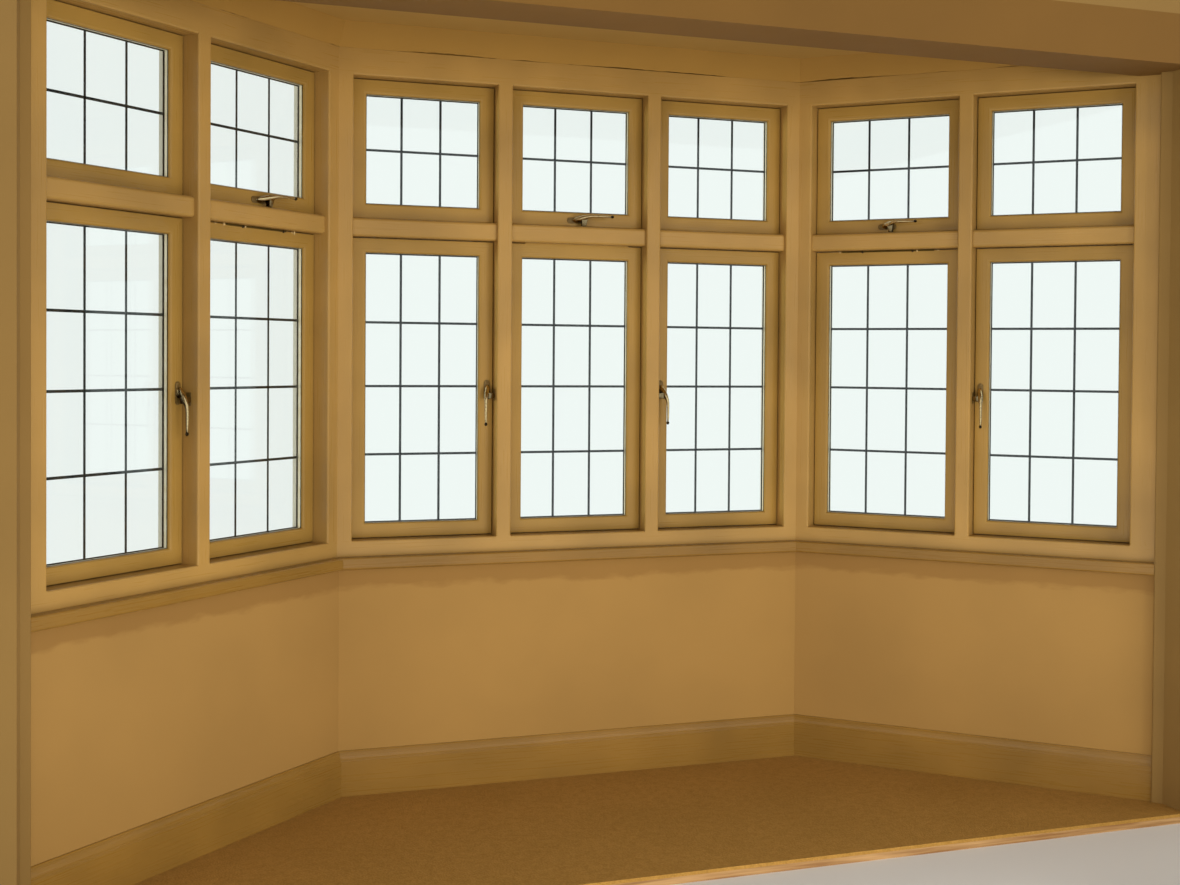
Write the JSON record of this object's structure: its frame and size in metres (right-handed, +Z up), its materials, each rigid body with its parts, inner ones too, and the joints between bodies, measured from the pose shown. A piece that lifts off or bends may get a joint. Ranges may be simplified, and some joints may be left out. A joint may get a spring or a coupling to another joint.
{
  "type": "bay window",
  "caption": "Canted bay window: leaded timber casements with top lights on plastered dwarf walls, window board, plaster ceiling and beam, under a hipped tiled bay roof.",
  "frame": {"origin": "bottom centre of the bounding box, on the level the bay's floor boards and walls stand on", "axes": "+Z up, +Y out of the room, +X to the right as seen from inside the room"},
  "size_m": [4.099, 1.3622, 3.1852],
  "materials": {
    "masonry": "plastered inside and rendered outside",
    "softwood_deck": "bare boards under a carpet",
    "wool_carpet": "short cut pile",
    "painted_joinery": "brushed gloss paint, worn",
    "painted_frame": "brushed gloss paint, worn",
    "painted_sash": "brushed satin paint",
    "window_glass": "clear sealed units with lead strips",
    "aged_bronze": "dark with worn bright edges",
    "plaster": "painted plaster",
    "painted_eaves": "weathered paint",
    "roof_tiles": "weathered clay",
    "lead_strips": "weathered lead stuck on the glass",
    "spacer_bars": "gold anodised aluminium between the panes",
    "glazing_sealant": "dark line round the glass"
  },
  "bodies": {
    "root": {"front_wall": "masonry", "left_wall": "masonry", "right_wall": "masonry", "left_return": "masonry", "right_return": "masonry", "upper_wall": "masonry", "floor_deck": "softwood_deck", "carpet": "wool_carpet", "front_skirting": "painted_joinery", "left_skirting": "painted_joinery", "right_skirting": "painted_joinery", "front_board": "painted_joinery", "left_board": "painted_joinery", "right_board": "painted_joinery", "front_cill": "painted_frame", "left_cill": "painted_frame", "right_cill": "painted_frame", "corner_posts": "painted_frame", "wall_jambs": "painted_frame", "front_mullions": "painted_frame", "side_mullions": "painted_frame", "front_transoms": "painted_frame", "left_transoms": "painted_frame", "right_transoms": "painted_frame", "front_head": "painted_frame", "left_head": "painted_frame", "right_head": "painted_frame", "front_lower_sashes": "painted_sash", "left_lower_sashes": "painted_sash", "right_lower_sashes": "painted_sash", "front_upper_sashes": "painted_sash", "left_upper_sashes": "painted_sash", "right_upper_sashes": "painted_sash", "front_glass": "window_glass", "left_glass": "window_glass", "right_glass": "window_glass", "front_fasteners": "aged_bronze", "left_fasteners": "aged_bronze", "right_fasteners": "aged_bronze", "ceiling_band": "plaster", "bay_ceiling": "plaster", "beam": "plaster", "soffit": "painted_eaves", "fascia": "painted_eaves", "roof": "roof_tiles"}
  },
  "joints": []
}
